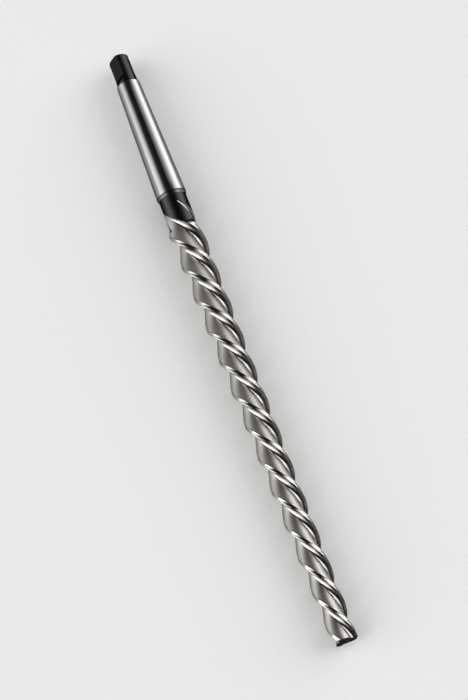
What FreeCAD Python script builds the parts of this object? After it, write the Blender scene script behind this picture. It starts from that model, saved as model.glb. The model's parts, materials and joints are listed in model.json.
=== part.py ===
"""Machine taper pin reamer: one ground bar of high-speed steel, lying on its lands.

Sizes are in millimetres and angles in degrees.  The tool is modelled along +X,
from the tang at x = 0 to the small cutting end, then laid down on the cone of
its lands.  Angles around the axis are measured from the top (+Z) toward +Y.
"""
import FreeCAD, Part
import math
import os
from FreeCAD import Placement, Rotation, Vector

# Lengths along the axis
shank_length = 65.5
neck_length = 16.0
flute_length = 175.5

# Cutting taper, 1 in 50 on diameter
small_end_diameter = 9.9
cutting_taper = 1 / 50
tip_chamfer = 0.55

# Shank taper, number 1 size, gauged a little way in from its large end
gauge_diameter = 12.065
gauge_setback = 3.5
shank_taper = 1 / 20.047
shank_end_chamfer_length = 1.1
shank_small_chamfer_length = 0.3

# Tang, with two flats left by an end-running cutter
tang_length = 13.0
tang_diameter = 8.6
tang_thickness = 5.2
tang_flat_length = 8.5
tang_cutter_radius = 5.0
tang_corner_radius = 1.2
tang_turn = 119.1

# Neck between the shank and the lands
neck_diameter = 11.3
land_start_chamfer_angle = 26.0

# Centre holes, one in each end
centre_pilot_diameter = 1.6
centre_pilot_depth = 3.4
centre_mouth_diameter = 3.35
centre_cone_angle = 60.0
drill_point_angle = 118.0

# Flutes: a left-hand helix of constant lead, cutting to the right
flute_count = 3
flute_lead = 42.0
edge_turn_at_land_start = 16.2

# Flute section, lengths as shares of the land radius at each station
margin_angle = 3.4
land_angle = 18.2
heel_drop = 0.028
core_share = 0.54
root_arc_share = 0.30
back_arc_share = 0.83
rake_angle = 6.0

# Run-out, where the grinding wheel lifts out of the flutes into the neck,
# leaning toward the back of the tooth behind
runout_start = 3.0
runout_length = 14.6
runout_lift_angle = 50.0

# The root is tight where only the wheel's rim cuts, and widens into the lands
rim_arc_share = 0.15
root_widening_lead_in = 8.0
root_widening_length = 8.0

# How finely the helix is drawn, and how far its cutters stand clear of the bar
section_step = 30.0
cutter_clear_share = 0.8
cutter_end_clearance = 2.0

land_start = shank_length + neck_length
tool_length = land_start + flute_length
tang_radius = tang_diameter / 2
neck_radius = neck_diameter / 2
flute_pitch = 360 / flute_count


def land_radius(x):
    """Radius of the cutting cone at a station; it carries on past both ends."""
    return small_end_diameter / 2 + (tool_length - x) * cutting_taper / 2


def shank_radius(x):
    """Radius of the shank's cone at a station."""
    gauge_x = shank_length - gauge_setback
    return gauge_diameter / 2 + (x - gauge_x) * shank_taper / 2


def direction(angle):
    """Unit direction in the section plane, as (sideways, up)."""
    turn = math.radians(angle)
    return Vector(0, math.sin(turn), math.cos(turn))


def centre_hole_outline(face_x, inward):
    """Half outline of a centre hole, from its point on the axis to its mouth."""
    mouth = centre_mouth_diameter / 2
    pilot = centre_pilot_diameter / 2
    cone_depth = (mouth - pilot) / math.tan(math.radians(centre_cone_angle / 2))
    point_depth = pilot / math.tan(math.radians(drill_point_angle / 2))
    return [
        Vector(face_x + inward * (centre_pilot_depth + point_depth), 0, 0),
        Vector(face_x + inward * centre_pilot_depth, 0, pilot),
        Vector(face_x + inward * cone_depth, 0, pilot),
        Vector(face_x, 0, mouth),
    ]


def make_turned_end():
    """Turned tang, shank and neck, up to the plane where the lands start."""
    corner = tang_corner_radius
    corner_centre = Vector(corner, 0, tang_radius - corner)
    corner_middle = corner_centre + Vector(-1, 0, 1).normalize() * corner
    small_rim = tang_length + shank_small_chamfer_length / 2
    land_rise = land_radius(land_start) - neck_radius
    land_chamfer = land_rise / math.tan(math.radians(land_start_chamfer_angle))

    end_face = centre_hole_outline(0, 1)
    end_face.append(corner_centre - Vector(corner, 0, 0))
    outside = [
        corner_centre + Vector(0, 0, corner),
        Vector(small_rim - shank_small_chamfer_length, 0, tang_radius),
        Vector(small_rim, 0, shank_radius(small_rim)),
        Vector(shank_length, 0, shank_radius(shank_length)),
        Vector(shank_length + shank_end_chamfer_length, 0, neck_radius),
        Vector(land_start - land_chamfer, 0, neck_radius),
        Vector(land_start, 0, land_radius(land_start)),
        Vector(land_start, 0, 0),
        end_face[0],
    ]
    edges = [Part.makeLine(a, b) for a, b in zip(end_face, end_face[1:])]
    edges.append(Part.Arc(end_face[-1], corner_middle, outside[0]).toShape())
    edges += [Part.makeLine(a, b) for a, b in zip(outside, outside[1:])]
    profile = Part.Face(Part.Wire(edges))
    return profile.revolve(Vector(0, 0, 0), Vector(1, 0, 0), 360)


def make_tip_cutters():
    """Chamfer ring and centre hole, both turned, for the small end."""
    hole = centre_hole_outline(tool_length, -1)
    hole += [Vector(tool_length, 0, 0), hole[0]]
    rim = land_radius(tool_length)
    low = Vector(tool_length + tip_chamfer, 0, rim - 2 * tip_chamfer)
    high = Vector(tool_length - 2 * tip_chamfer, 0, rim + tip_chamfer)
    ring = [low, high, Vector(low.x, 0, high.z), low]
    cutters = []
    for outline in (hole, ring):
        face = Part.Face(Part.makePolygon(outline))
        cutters.append(face.revolve(Vector(0, 0, 0), Vector(1, 0, 0), 360))
    return cutters


def make_tang_cutter():
    """One side's flat for the tang, ending in the cutter's round run-out."""
    reach = tang_diameter
    flat = tang_thickness / 2
    start = Vector(-reach, 0, flat)
    flat_end = Vector(tang_flat_length, 0, flat)
    round_centre = flat_end + Vector(0, 0, tang_cutter_radius)
    round_middle = round_centre + Vector(1, 0, -1).normalize() * tang_cutter_radius
    round_end = round_centre + Vector(tang_cutter_radius, 0, 0)
    top = Vector(-reach, 0, round_end.z)
    edges = [
        Part.makeLine(start, flat_end),
        Part.Arc(flat_end, round_middle, round_end).toShape(),
        Part.makeLine(round_end, top),
        Part.makeLine(top, start),
    ]
    side = Part.Face(Part.Wire(edges))
    side.translate(Vector(0, -reach, 0))
    return side.extrude(Vector(0, 2 * reach, 0))


def flute_points(root):
    """Corner points of one flute's section, for a land radius of one.

    The tooth behind the flute has its cutting edge straight up; the flute runs
    from that tooth's heel round to the rake face of the next tooth.  The root
    is the radius of the arc between that tooth's back and the rake face.
    """
    edge = direction(flute_pitch)
    margin_end = direction(margin_angle)
    heel = direction(land_angle) * (1 - heel_drop)

    # The rake face leans in under the cutting edge of its own tooth
    inward = direction(flute_pitch + 180 - rake_angle)
    into_flute = direction(flute_pitch - 90 - rake_angle)

    # The root arc touches the rake face and the core circle
    base = edge + into_flute * root
    along = base.dot(inward)
    depth = -along - math.sqrt(along**2 - base.dot(base) + (core_share + root) ** 2)
    root_centre = base + inward * depth
    rake_foot = root_centre - into_flute * root

    # The rounded back leaves the heel and meets the root arc without a corner
    span = root_centre - heel
    back = back_arc_share
    to_middle = (span.dot(span) + back**2 - (back + root) ** 2) / (2 * span.Length)
    off_line = math.sqrt(back**2 - to_middle**2)
    along_span = Vector(span).normalize()
    away = Vector(0, -along_span.z, along_span.y)
    options = [heel + along_span * to_middle + away * s * off_line for s in (1, -1)]
    back_centre = min(options, key=lambda point: point.Length)
    toward_back = (back_centre - root_centre).normalize()
    back_foot = root_centre + toward_back * root
    back_middle = back_centre + ((heel + back_foot) / 2 - back_centre).normalize() * back
    root_middle = root_centre + ((rake_foot + back_foot) / 2 - root_centre).normalize() * root

    return {
        "inward": inward,
        "rake foot": rake_foot,
        "root middle": root_middle,
        "back foot": back_foot,
        "back middle": back_middle,
        "heel": heel,
        "relief run": margin_end - heel,
        "root centre": root_centre,
    }


def meet_circle(start, heading, radius):
    """Point where a line from inside a circle meets it."""
    unit = Vector(heading).normalize()
    along = start.dot(unit)
    return start + unit * (math.sqrt(along**2 - start.dot(start) + radius**2) - along)


def root_share(x):
    """The root arc's radius at a station, as a share of the land radius."""
    past = x - (land_start - root_widening_lead_in)
    widened = min(max(past / root_widening_length, 0), 1)
    return rim_arc_share + (root_arc_share - rim_arc_share) * widened


def runout_shift(x):
    """How far the wheel has moved out of the flute at a station.

    The whole lift just clears the neck, and the wheel leaves on a curved path.
    """
    full_depth_x = land_start + runout_start
    if x >= full_depth_x:
        return Vector()
    land = land_radius(full_depth_x)
    root_centre = flute_points(rim_arc_share)["root centre"] * land
    clear_radius = neck_radius + rim_arc_share * land
    cleared = meet_circle(root_centre, direction(runout_lift_angle), clear_radius)
    return (cleared - root_centre) * ((full_depth_x - x) / runout_length) ** 2


def flute_at(x, reach):
    """One flute's outline at a station, out to a circle of the given radius."""
    land = land_radius(x)
    points = flute_points(root_share(x))
    shift = runout_shift(x)
    names = ("rake foot", "root middle", "back foot", "back middle", "heel")
    outline = [points[name] * land + shift for name in names]
    rake_top = meet_circle(outline[0], points["inward"] * -1, reach)
    relief_top = meet_circle(outline[-1], points["relief run"], reach)
    return [rake_top] + outline + [relief_top]


def turned_into_place(outline, x, flute):
    """Outline points spun to the helix's turn at a station."""
    turn = edge_turn_at_land_start + 360 * (x - land_start) / flute_lead
    spin = Rotation(Vector(1, 0, 0), -turn - flute * flute_pitch)
    return [spin.multVec(point) + Vector(x, 0, 0) for point in outline]


def flute_edges(outline):
    """Edges of one flute: rake face, root arc, rounded back and relief."""
    rake_top, rake_foot, root_middle, back_foot, back_middle, heel, relief_top = outline
    return [
        Part.makeLine(rake_top, rake_foot),
        Part.Arc(rake_foot, root_middle, back_foot).toShape(),
        Part.Arc(back_foot, back_middle, heel).toShape(),
        Part.makeLine(heel, relief_top),
    ]


def arc_round(start, end, x, radius):
    """Arc about the axis between two points at a station."""
    axis_point = Vector(x, 0, 0)
    middle = axis_point + ((start + end) / 2 - axis_point).normalize() * radius
    return Part.Arc(start, middle, end).toShape()


def fluted_section(x):
    """Closed section of the fluted bar at one station."""
    land = land_radius(x)
    flat = flute_at(x, land)
    flutes = [turned_into_place(flat, x, -flute) for flute in range(flute_count)]
    edges = []
    for flute, next_flute in zip(flutes, flutes[1:] + flutes[:1]):
        edges += flute_edges(flute)
        edges.append(arc_round(flute[-1], next_flute[0], x, land))
    return Part.Wire(edges)


def stations_between(start, end):
    """Evenly spaced stations, close enough for a smooth helix."""
    count = math.ceil((end - start) / flute_lead * 360 / section_step)
    return [start + (end - start) * i / count for i in range(count + 1)]


def make_fluted_bar():
    """Fluted cone from the start of the lands to the small end."""
    sections = [fluted_section(x) for x in stations_between(land_start, tool_length)]
    bar = Part.makeLoft(sections, True, False)
    for cutter in make_tip_cutters():
        bar = bar.cut(cutter)
    return bar


def make_runout_cutter(flute):
    """Cutter for one flute's run-out, lifting out of the neck."""
    start = land_start + runout_start - runout_length - cutter_end_clearance
    step = flute_lead * section_step / 360
    sections = []
    for x in stations_between(start, land_start) + [land_start + step]:
        reach = land_radius(x) * (1 + cutter_clear_share)
        outline = turned_into_place(flute_at(x, reach), x, -flute)
        edges = flute_edges(outline)
        edges.append(arc_round(outline[-1], outline[0], x, reach))
        sections.append(Part.Wire(edges))
    return Part.makeLoft(sections, True, False)


def lay_down(tool):
    """Lay the tool on the cone of its lands, centred over the origin."""
    half_angle = math.degrees(math.atan(cutting_taper / 2))
    tool.Placement = Placement(Vector(), Rotation(Vector(0, 1, 0), half_angle))
    box = tool.optimalBoundingBox(False)
    middle = (box.XMin + box.XMax) / 2
    drop = land_radius(0) * math.cos(math.radians(half_angle))
    tool.Placement = Placement(Vector(-middle, 0, drop), tool.Placement.Rotation)
    return tool


def make_reamer():
    """The finished tool, one solid."""
    turned_end = make_turned_end()
    flat_cutter = make_tang_cutter()
    for side in (0, 180):
        turned = flat_cutter.copy()
        turned.rotate(Vector(0, 0, 0), Vector(1, 0, 0), -tang_turn - side)
        turned_end = turned_end.cut(turned)
    for flute in range(flute_count):
        turned_end = turned_end.cut(make_runout_cutter(flute))
    tool = turned_end.fuse(make_fluted_bar())
    return lay_down(tool.Solids[0])


os.makedirs("parts", exist_ok=True)
make_reamer().exportStep("parts/taper_reamer.step")
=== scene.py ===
"""Machine taper pin reamer on a pale studio floor: finishes, light and camera.

Everything is in metres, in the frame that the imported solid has.  The reamer lies
along X with its tang at the low end, and it rests on the cone of its lands, so
its axis slopes down a little toward the small end.  The finishes work in the
tool's own place instead: millimetres from the tang's end face along the axis,
and across it.
"""
import bpy
import json
import math
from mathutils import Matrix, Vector

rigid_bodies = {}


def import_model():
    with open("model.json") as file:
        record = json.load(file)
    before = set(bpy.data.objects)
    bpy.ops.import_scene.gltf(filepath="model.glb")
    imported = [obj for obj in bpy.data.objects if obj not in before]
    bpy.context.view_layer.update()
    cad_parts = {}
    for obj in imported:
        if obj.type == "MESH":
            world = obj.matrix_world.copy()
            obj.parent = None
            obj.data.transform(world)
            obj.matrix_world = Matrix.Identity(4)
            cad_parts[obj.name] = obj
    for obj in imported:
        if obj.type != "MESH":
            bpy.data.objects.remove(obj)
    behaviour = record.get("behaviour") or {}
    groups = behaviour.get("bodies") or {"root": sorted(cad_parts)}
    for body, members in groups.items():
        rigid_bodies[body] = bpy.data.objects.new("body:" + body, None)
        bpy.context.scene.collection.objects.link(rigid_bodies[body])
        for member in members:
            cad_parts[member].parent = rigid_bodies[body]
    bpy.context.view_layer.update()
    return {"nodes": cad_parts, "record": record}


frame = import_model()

millimetre = 0.001

# The lands taper by 1 in 50 on diameter, and the tool lies on them
cutting_taper = 1 / 50
half_taper_angle = math.atan(cutting_taper / 2)

# The tool's axis starts at the tang's end face, which lies past the shank's gauge plane
gauge_place = 62.0
mounts = {mount["name"]: mount for mount in frame["record"]["mounts"]}
gauge_centre = Vector(mounts["taper_shank"]["pos_m"])
toward_tang = Vector(mounts["taper_shank"]["axis"])
axis_start = gauge_centre + toward_tang * gauge_place * millimetre

# Places along the axis, in millimetres from the tang's end face
tang_end = 13.0
black_ring_start = 65.3
bare_ring_start = 65.85
bare_ring_end = 66.6
neck_end = 80.8
land_start = 81.5
tool_end = 257.0
tip_chamfer = 0.55

# How far a finish fades on each side of its edge, and the marks of the wheel past the shank
edge_fade = 0.1
ring_start_fade = 0.05
ring_end_fade = 0.15
mark_change = 1.0

# The neck's turned skin, in millimetres from the axis, and the depth that the black fades over
neck_radius = 5.65
skin_top = 0.02
skin_depth = 0.08

# The helix of the flutes: its lead, and the turns, in degrees, of one tooth's section
flute_lead = 42.0
edge_turn_at_land_start = 16.2
flute_pitch = 120.0
back_start = 21.0
back_end = 92.0
heel_fade = 3.0
root_fade = 8.0

# Grinding marks: how often they change in a millimetre, along the axis and crosswise
ring_marks_along = 9.0
ring_marks_crosswise = 0.25
helix_marks_along = 0.05
helix_marks_crosswise = 7.0

# Noises: scale, detail and roughness
mark_noise = (1.0, 3.0, 0.6)
patch_noise = (0.12, 2.0, 0.5)
mottle_noise = (1.4, 4.0, 0.6)

# Colours
shank_steel_dark = (0.355, 0.353, 0.350, 1.0)
shank_steel_light = (0.385, 0.383, 0.380, 1.0)
flute_steel_dark = (0.445, 0.433, 0.421, 1.0)
flute_steel_light = (0.485, 0.472, 0.460, 1.0)
bare_ring_steel = (0.15, 0.148, 0.146, 1.0)
# The oxide's colour, which also paints the small end's face dark as painted shade
dark_oxide_and_painted_shade = (0.034, 0.034, 0.035, 1.0)
light_oxide_and_painted_shade = (0.054, 0.053, 0.052, 1.0)

# How much of its glancing reflection the surface keeps
edge_tint = (0.10, 0.10, 0.10, 1.0)

# Roughness of the steel and of the oxide, each with what its patterns and places add
steel_roughness = 0.13
mark_roughness = 0.10
patch_roughness = 0.04
back_roughness = 0.22
oxide_roughness = 0.24
mottle_roughness = 0.14
end_face_roughness = 0.35

# Height of the marks, in metres, and how much of it shows
mark_height = 0.00001
mark_strength = 0.25

# Camera, from a fit of the photograph's outline
camera_place = Vector((0.314386, -0.111279, 0.816134))
camera_aim = Vector((0.006565, 0.000857, 0.006))
camera_lens = 116.82
film_height = 36.0
nearest_sight = 0.01

# Floor and fill light
floor_size = 8.0
floor_colour = (0.90, 0.90, 0.895, 1.0)
fill_height = 2.2
fill_size = 3.0
fill_power = 17.0

# The studio's panels: their strength, and each one's share of it
panel_strength = 3.5
left_share = 0.47
left_share_added = 0.58
right_share = 1.18
end_share = 0.14
ceiling_share = 0.003

# Where the panels fade in, as parts of a direction of length one
left_fade = (0.46, 0.94)
left_share_fade = (-0.51, -0.41)
middle_fade = (-0.35, -0.10)
middle_reach = 0.20
far_fade = (0.0, 0.8)
far_retreat = 0.42
right_fade = (0.31, 1.00)
right_slant = 1.3
right_slant_fade = (-0.35, 0.35)
end_fade = (0.50, 0.85)
horizon_fade = (0.0, 0.3)

# What a new file holds before anything is made
start_up_objects = ("Cube", "Light", "Camera")


class Field:
    """A shader socket that can be used like a number in an expression."""

    def __init__(self, shader, socket):
        self.shader = shader
        self.socket = socket

    def alone(self, operation):
        return self.shader.node("ShaderNodeMath", {"operation": operation}, {0: self})

    def blend(self, operation, first, second):
        settings = {"operation": operation}
        return self.shader.node("ShaderNodeMath", settings, {0: first, 1: second})

    def __add__(self, other):
        return self.blend("ADD", self, other)

    def __radd__(self, other):
        return self.blend("ADD", other, self)

    def __sub__(self, other):
        return self.blend("SUBTRACT", self, other)

    def __rsub__(self, other):
        return self.blend("SUBTRACT", other, self)

    def __mul__(self, other):
        return self.blend("MULTIPLY", self, other)

    def __rmul__(self, other):
        return self.blend("MULTIPLY", other, self)

    def root(self):
        return self.alone("SQRT")

    def sine(self):
        return self.alone("SINE")

    def cosine(self):
        return self.alone("COSINE")

    def angle_from(self, other):
        """Angle in radians whose sine goes with this field and cosine with the other."""
        return self.blend("ARCTAN2", self, other)

    def wrapped(self, size):
        return self.blend("FLOORED_MODULO", self, size)

    def between(self, low, high):
        """0 below low, 1 above high, and smooth in between."""
        values = {"Value": self, "From Min": low, "From Max": high}
        settings = {"interpolation_type": "SMOOTHSTEP"}
        return self.shader.node("ShaderNodeMapRange", settings, values)

    def past(self, edge, fade):
        """0 before an edge and 1 past it, with a fade on each side of the edge."""
        return self.between(edge - fade, edge + fade)


class Shader:
    """Adds nodes to one material's or world's tree."""

    # Where a Mix node keeps its two colours, and the colour that it gives
    first_colour = 6
    second_colour = 7
    mixed_colour = 2

    def __init__(self, owner):
        owner.use_nodes = True
        self.tree = owner.node_tree
        self.tree.nodes.clear()

    def node(self, kind, settings=None, values=None, output=0):
        """Adds a node: its settings first, then its sockets' values or links."""
        made = self.tree.nodes.new(kind)
        for name, setting in (settings or {}).items():
            setattr(made, name, setting)
        for place, value in (values or {}).items():
            if isinstance(value, Field):
                self.tree.links.new(value.socket, made.inputs[place])
            else:
                made.inputs[place].default_value = value
        return Field(self, made.outputs[output] if made.outputs else None)

    def vector(self, x, y, z):
        return self.node("ShaderNodeCombineXYZ", None, {0: x, 1: y, 2: z})

    def split(self, vector):
        whole = self.node("ShaderNodeSeparateXYZ", None, {0: vector})
        return [Field(self, output) for output in whole.socket.node.outputs]

    def noise(self, vector, scale, detail, roughness):
        values = {"Vector": vector, "Scale": scale, "Detail": detail, "Roughness": roughness}
        return self.node("ShaderNodeTexNoise", None, values)

    def mix(self, share, first, second):
        """A colour between two colours."""
        values = {"Factor": share, self.first_colour: first, self.second_colour: second}
        return self.node("ShaderNodeMix", {"data_type": "RGBA"}, values, self.mixed_colour)


def place_on_tool(shader):
    """Millimetres along the axis from the tang's end, and across it both ways."""
    coordinates = shader.node("ShaderNodeTexCoord", None, None, "Object")
    scale = 1 / millimetre
    cosine = math.cos(half_taper_angle)
    sine = math.sin(half_taper_angle)
    start = axis_start * scale
    back = Vector((
        -(cosine * start.x - sine * start.z),
        -start.y,
        -(sine * start.x + cosine * start.z),
    ))
    values = {
        "Vector": coordinates,
        "Location": back,
        "Rotation": (0.0, -half_taper_angle, 0.0),
        "Scale": (scale, scale, scale),
    }
    place = shader.node("ShaderNodeMapping", {"vector_type": "POINT"}, values)
    return shader.split(place)


def untwist(along, across, up):
    """The two crosswise places, turned back by the helix so that flutes run straight."""
    turn = along * (2 * math.pi / flute_lead)
    cosine = turn.cosine()
    sine = turn.sine()
    return across * cosine - up * sine, across * sine + up * cosine


def find_backs(straight_across, straight_up):
    """The backs of the teeth, by the degrees round from the nearest cutting edge behind."""
    start = math.degrees(2 * math.pi * land_start / flute_lead) - edge_turn_at_land_start
    turn = straight_across.angle_from(straight_up) * math.degrees(1) + start
    turn = turn.wrapped(flute_pitch)
    past_heel = turn.between(back_start, back_start + heel_fade)
    past_back = turn.between(back_end - root_fade, back_end)
    return past_heel * (1 - past_back)


def find_black(along, radius):
    """The bare ring on the shank's chamfer, the small end's face (painted dark as painted
    shade), and all that is black.
    """
    on_tang = 1 - along.past(tang_end, edge_fade)
    past_shank = along.past(black_ring_start, edge_fade)
    before_lands = 1 - along.past(neck_end, edge_fade)
    outer_skin = radius.between(neck_radius - skin_depth, neck_radius - skin_top)
    past_ring = along.past(bare_ring_end, ring_end_fade)
    bare_ring = along.past(bare_ring_start, ring_start_fade) * (1 - past_ring)
    on_neck = past_shank * before_lands * outer_skin * (1 - bare_ring)
    # The small end's face is painted dark in the oxide's colour: painted shade for the dark
    # that this face mirrors
    chamfer_start = tool_end - tip_chamfer
    painted_dark_end_face = along.between(chamfer_start, chamfer_start + edge_fade)
    return bare_ring, painted_dark_end_face, on_tang + on_neck + painted_dark_end_face


def find_marks(shader, along, crosswise, marks_along, marks_crosswise):
    """Fine grinding marks, drawn out along the way that the wheel ran."""
    across, up = crosswise
    place = shader.vector(
        along * marks_along, across * marks_crosswise, up * marks_crosswise)
    return shader.noise(place, *mark_noise)


def make_reamer_finish():
    """Ground steel on shank and flutes, black oxide on tang and neck, and the small end's face
    painted in the oxide's dark colour as painted shade.
    """
    material = bpy.data.materials.new("ground and blackened steel")
    shader = Shader(material)
    along, across, up = place_on_tool(shader)
    straight = untwist(along, across, up)
    radius = (across * across + up * up).root()
    bare_ring, painted_dark_end_face, black = find_black(along, radius)
    on_flutes = along.between(black_ring_start, black_ring_start + mark_change)

    # The wheel ran round the shank, and along the helix on the flutes
    ring_marks = find_marks(
        shader, along, (across, up), ring_marks_along, ring_marks_crosswise)
    helix_marks = find_marks(
        shader, along, straight, helix_marks_along, helix_marks_crosswise)
    marks = ring_marks * (1 - on_flutes) + helix_marks * on_flutes

    # The backs of the teeth are ground less finely than the lands and the roots
    on_back = find_backs(*straight) * on_flutes

    # Slow changes in how well the wheel cut, and the uneven skin of the oxide
    tool_place = shader.vector(along, across, up)
    patches = shader.noise(tool_place, *patch_noise)
    mottle = shader.noise(tool_place, *mottle_noise)

    shank_steel = shader.mix(patches, shank_steel_dark, shank_steel_light)
    flute_steel = shader.mix(patches, flute_steel_dark, flute_steel_light)
    steel = shader.mix(on_flutes, shank_steel, flute_steel)
    steel = shader.mix(bare_ring, steel, bare_ring_steel)
    # The oxide's mottled colour, also laid on the small end's face as painted shade
    oxide_and_shade_colour = shader.mix(mottle, dark_oxide_and_painted_shade, light_oxide_and_painted_shade)
    steel_rough = (steel_roughness + marks * mark_roughness
                   + patches * patch_roughness + on_back * back_roughness)
    oxide_rough = (oxide_roughness + mottle * mottle_roughness
                   + painted_dark_end_face * end_face_roughness)

    bump_values = {
        "Strength": mark_strength,
        "Distance": mark_height,
        "Height": marks * (1 - black) + mottle * black,
    }
    surface_values = {
        "Base Color": shader.mix(black, steel, oxide_and_shade_colour),
        "Metallic": 1.0,
        "Roughness": steel_rough * (1 - black) + oxide_rough * black,
        "Specular Tint": edge_tint,
        "Normal": shader.node("ShaderNodeBump", None, bump_values),
    }
    surface = shader.node("ShaderNodeBsdfPrincipled", None, surface_values)
    shader.node("ShaderNodeOutputMaterial", None, {"Surface": surface})
    return material


def make_floor():
    """Plain pale floor that keeps the reamer's soft shadow."""
    bpy.ops.mesh.primitive_plane_add(size=floor_size)
    floor = bpy.context.object
    floor.name = "floor"
    material = bpy.data.materials.new("pale floor")
    shader = Shader(material)
    surface = shader.node("ShaderNodeBsdfDiffuse", None, {"Color": floor_colour})
    shader.node("ShaderNodeOutputMaterial", None, {"Surface": surface})
    floor.data.materials.append(material)


def make_panels():
    """A soft panel along each side of the tool, under a dark ceiling."""
    world = bpy.data.worlds.new("studio")
    bpy.context.scene.world = world
    shader = Shader(world)
    heading = shader.node("ShaderNodeTexCoord", None, None, "Generated")
    x, y, z = shader.split(heading)

    # The left panel reaches further over the tool's middle, and less far past its small end
    left_reach = x.between(*middle_fade) * middle_reach - x.between(*far_fade) * far_retreat
    left_level = left_share + x.between(*left_share_fade) * left_share_added
    left_panel = (left_reach - y).between(*left_fade) * left_level

    # The right panel falls off toward the floor, and sooner toward the small end
    right_slope = (z - x * right_slant).between(*right_slant_fade)
    right_panel = y.between(*right_fade) * right_slope * right_share

    # Past both ends of the tool the studio is dim, and not black
    end_glow = (x * x).between(*end_fade) * z.between(*horizon_fade) * end_share
    level = (left_panel + right_panel + end_glow + ceiling_share) * panel_strength
    background = shader.node("ShaderNodeBackground", None, {"Strength": level})
    shader.node("ShaderNodeOutputWorld", None, {"Surface": background})


def make_fill_light():
    """Plain soft light from above, which the steel doesn't mirror."""
    bpy.ops.object.light_add(type="AREA", location=(0.0, 0.0, fill_height))
    fill = bpy.context.object
    fill.name = "fill"
    fill.data.shape = "SQUARE"
    fill.data.size = fill_size
    fill.data.energy = fill_power
    fill.visible_glossy = False
    fill.visible_camera = False


def make_camera():
    """The photograph's view: looking down from the small end's side, with no roll."""
    data = bpy.data.cameras.new("camera")
    data.sensor_fit = "VERTICAL"
    data.sensor_height = film_height
    data.lens = camera_lens
    data.clip_start = nearest_sight
    camera = bpy.data.objects.new("camera", data)
    bpy.context.scene.collection.objects.link(camera)
    camera.location = camera_place
    camera.rotation_euler = (camera_aim - camera_place).to_track_quat("-Z", "Y").to_euler()
    bpy.context.scene.camera = camera


def dress_reamer():
    """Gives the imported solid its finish."""
    reamer = frame["nodes"]["taper_reamer"]
    reamer.material_slots[0].material = make_reamer_finish()


for left_over in [thing for thing in bpy.data.objects if thing.name in start_up_objects]:
    bpy.data.objects.remove(left_over)

dress_reamer()
make_floor()
make_panels()
make_fill_light()
make_camera()
bpy.context.scene.view_settings.view_transform = "Standard"
